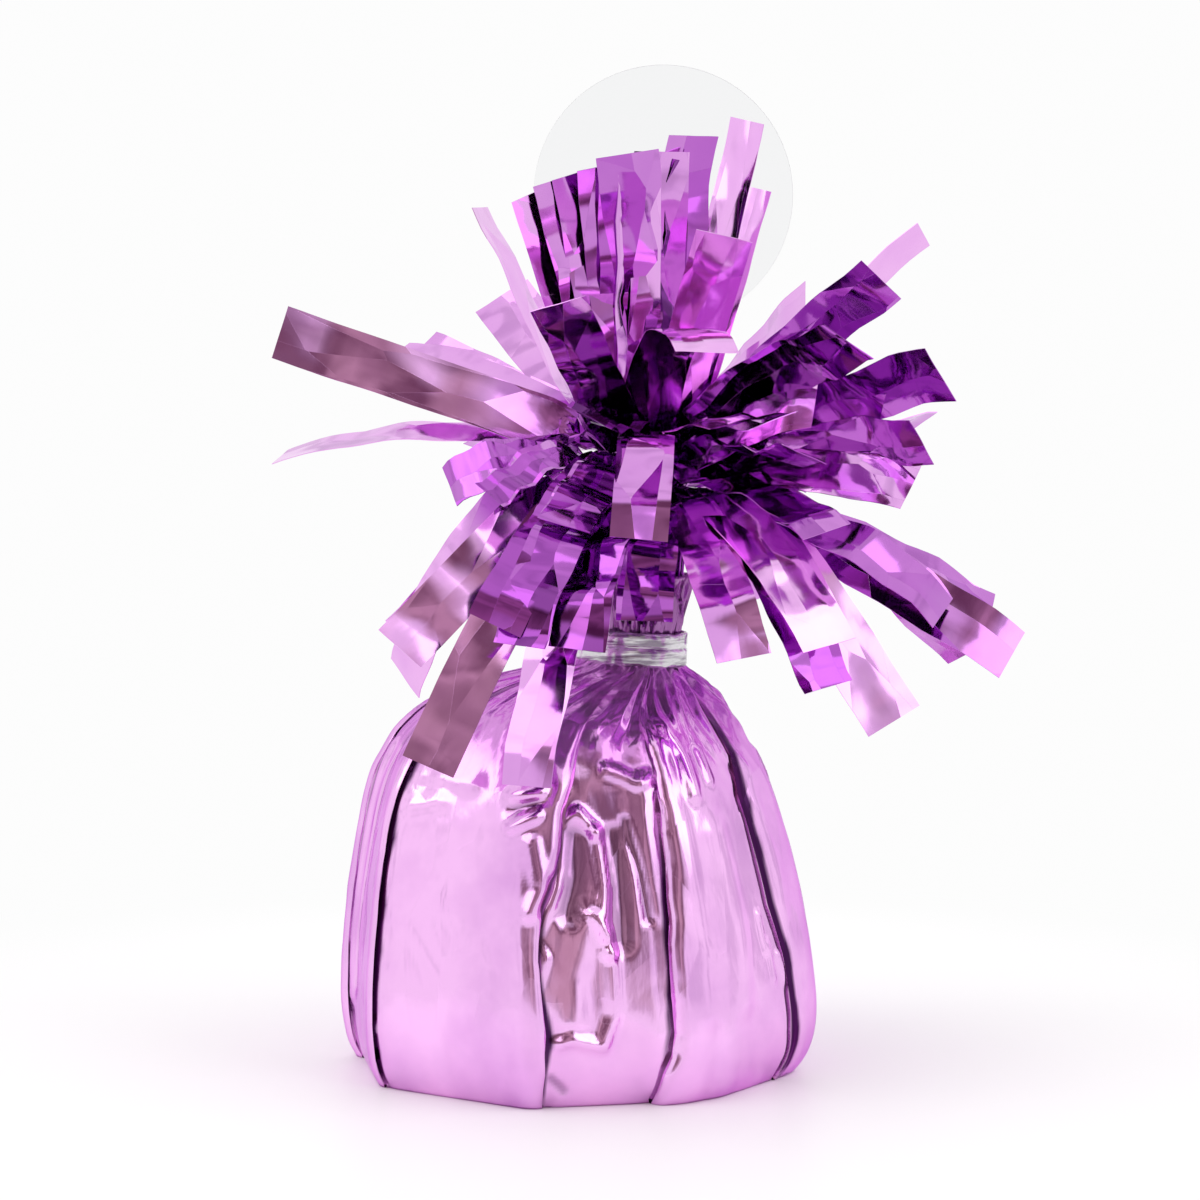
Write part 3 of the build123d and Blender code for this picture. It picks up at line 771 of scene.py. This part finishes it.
mark_across = add_node(strips, "GeometryNodeStoreNamedAttribute", {
    "Geometry": divide.outputs["Curve"], "Name": "across", "Value": from_edge.outputs["Y"]})
sweep = add_node(strips, "GeometryNodeCurveToMesh", {
    "Curve": set_face.outputs["Curve"],
    "Profile Curve": mark_across.outputs["Geometry"],
    "Scale": read_half.outputs["Attribute"],
})

# the blades are crinkled a little, and then get the film's thickness
either_way = reckon(strips, "SUBTRACT", add_noise(strips, place, scale=130, detail=1.5), 0.5)
amount = reckon(strips, "MULTIPLY", either_way, given.outputs["Crinkle"])
normal = add_node(strips, "GeometryNodeInputNormal")
push = add_node(
    strips, "ShaderNodeVectorMath", {"Vector": normal.outputs["Normal"], "Scale": amount}, operation="SCALE")
crinkled = add_node(
    strips, "GeometryNodeSetPosition", {"Geometry": sweep.outputs["Mesh"], "Offset": push.outputs["Vector"]})
thicken = add_node(strips, "GeometryNodeExtrudeMesh", {
    "Mesh": crinkled.outputs["Geometry"],
    "Offset Scale": given.outputs["Film thickness"],
    "Individual": False,
})
underside = add_node(strips, "GeometryNodeFlipFaces", {"Mesh": crinkled.outputs["Geometry"]})
together = add_node(strips, "GeometryNodeJoinGeometry", {"Geometry": thicken.outputs["Mesh"]})
set_sockets(strips, together, {"Geometry": underside.outputs["Mesh"]})
closed = add_node(
    strips, "GeometryNodeMergeByDistance", {"Geometry": together.outputs["Geometry"], "Distance": 0.002 * MM})
plain = add_node(strips, "GeometryNodeRealizeInstances", {"Geometry": closed.outputs["Geometry"]})
coat = add_node(
    strips, "GeometryNodeSetMaterial", {"Geometry": plain.outputs["Geometry"], "Material": strip_film})
add_node(strips, "NodeGroupOutput", {"Strips": coat.outputs["Geometry"]})

grow = fringe.modifiers.new("strips", "NODES")
grow.node_group = strips
grow[thickness_in.identifier] = FILM_THICKNESS * MM
grow[columns_in.identifier] = STRIP_COLUMNS
grow[crinkle_in.identifier] = CRINKLE * MM
evaluated = fringe.evaluated_get(bpy.context.evaluated_depsgraph_get())
fringe_mesh = bpy.data.meshes.new_from_object(evaluated)
fringe.modifiers.clear()
fringe.data = fringe_mesh
fringe_mesh.shade_smooth()
fringe_mesh.set_sharp_from_angle(angle=math.radians(50))
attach(fringe, "weight")
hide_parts(*[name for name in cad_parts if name.startswith("fringe_strip_")])

# Stage: a pale matt table that fades out into a white surround, and soft light from all sides with
# a dim room on the camera's side, as the film mirrors it.
FLOOR_RADIUS = 0.6  # the stage's sizes are in metres
FLOOR_CORNERS = 96
SURROUND = (0.98, 0.98, 0.98, 1)
FADE_START = 0.045
FADE_END = 0.16
corners = np.linspace(0, 2 * math.pi, FLOOR_CORNERS + 1)[:-1]
rim = [(FLOOR_RADIUS * math.cos(a), FLOOR_RADIUS * math.sin(a), 0) for a in corners]
floor = make_piece("floor", rim, [list(range(FLOOR_CORNERS))])
floor.location.z = -0.05 * MM
table, tree, shader = start_finish("table")
set_sockets(tree, shader, {
    "Base Color": (0.97, 0.97, 0.97, 1), "Roughness": 0.45, "Specular IOR Level": 0.25})
place = add_node(tree, "ShaderNodeTexCoord").outputs["Object"]
from_middle = reckon_vector(tree, "LENGTH", place, result="Value")
fade = map_range(
    tree, from_middle, 0.0, 1.0, low=FADE_START, high=FADE_END, interpolation_type="SMOOTHSTEP")
white = add_node(tree, "ShaderNodeEmission", {"Color": SURROUND})
faded = add_node(tree, "ShaderNodeMixShader", {
    "Fac": fade, 1: shader.outputs["BSDF"], 2: white.outputs["Emission"]})
set_sockets(tree, tree.nodes["Material Output"], {"Surface": faded.outputs["Shader"]})
floor.data.materials.append(table)

world = bpy.data.worlds.new("studio")
bpy.context.scene.world = world
world.use_nodes = True
tree = world.node_tree
place = add_node(tree, "ShaderNodeTexCoord").outputs["Generated"]

# the dim room fills an opening on the camera's side: axis, middle, and half width inside and outside
split = add_node(tree, "ShaderNodeSeparateXYZ", {"Vector": place}).outputs
ahead_only = reckon(tree, "MAXIMUM", reckon(tree, "MULTIPLY", split["Y"], -1.0), 0.05)
masks = []
for axis, middle, inside, outside in (("X", -0.25, 0.7, 1.15), ("Z", 0.62, 0.42, 0.8)):
    slope = reckon(tree, "DIVIDE", split[axis], ahead_only)
    offset = reckon(tree, "ABSOLUTE", reckon(tree, "SUBTRACT", slope, middle))
    masks.append(map_range(
        tree, offset, 0.0, 1.0, low=outside, high=inside, interpolation_type="SMOOTHSTEP"))
opening = reckon(tree, "MULTIPLY", *masks)
shapes = add_noise(tree, place, scale=3.4, detail=2)
room = add_ramp(tree, shapes, (0.38, (0.17, 0.09, 0.115)), (0.62, (0.55, 0.43, 0.41)))
walls = add_noise(tree, place, scale=5.0, detail=3)
pale = add_ramp(tree, walls, (0.36, (0.76, 0.72, 0.78)), (0.5, (1, 1, 1)))
mirrored = mix_colours(tree, opening, pale, room)

# what the camera sees, also through the clear sheet, is the plain surround
ray = add_node(tree, "ShaderNodeLightPath").outputs
seen = reckon(tree, "MAXIMUM", ray["Is Camera Ray"], ray["Is Transmission Ray"])
glossy = reckon(tree, "MAXIMUM", seen, ray["Is Glossy Ray"])
set_sockets(tree, tree.nodes["Background"], {
    "Color": mix_colours(tree, seen, mirrored, SURROUND),
    "Strength": map_range(tree, glossy, 1.12, 1.0),
})

AIM = Vector((0, 0, 0.06))
for name, place, size, power in (
    ("key_light", (-0.75, -0.45, 0.85), 1.0, 3.0),
    ("fill_light", (0.8, -0.35, 0.7), 0.9, 2.4),
):
    lamp = bpy.data.lights.new(name, "AREA")
    lamp.size = size
    lamp.energy = power
    holder = bpy.data.objects.new(name, lamp)
    holder.location = place
    holder.rotation_euler = (AIM - Vector(place)).to_track_quat("-Z", "Y").to_euler()
    bpy.context.scene.collection.objects.link(holder)

EYE = (0.00377, -0.515, 0.1066)
LOOK_DOWN = 4.57
FOCAL_LENGTH = 110.76
lens = bpy.data.cameras.new("camera")
lens.sensor_width = 36
lens.lens = FOCAL_LENGTH
lens.clip_start = 0.01
camera = bpy.data.objects.new("camera", lens)
camera.location = EYE
camera.rotation_euler = (math.radians(90 - LOOK_DOWN), 0, 0)
bpy.context.scene.collection.objects.link(camera)
bpy.context.scene.camera = camera
bpy.context.scene.view_settings.view_transform = "Standard"
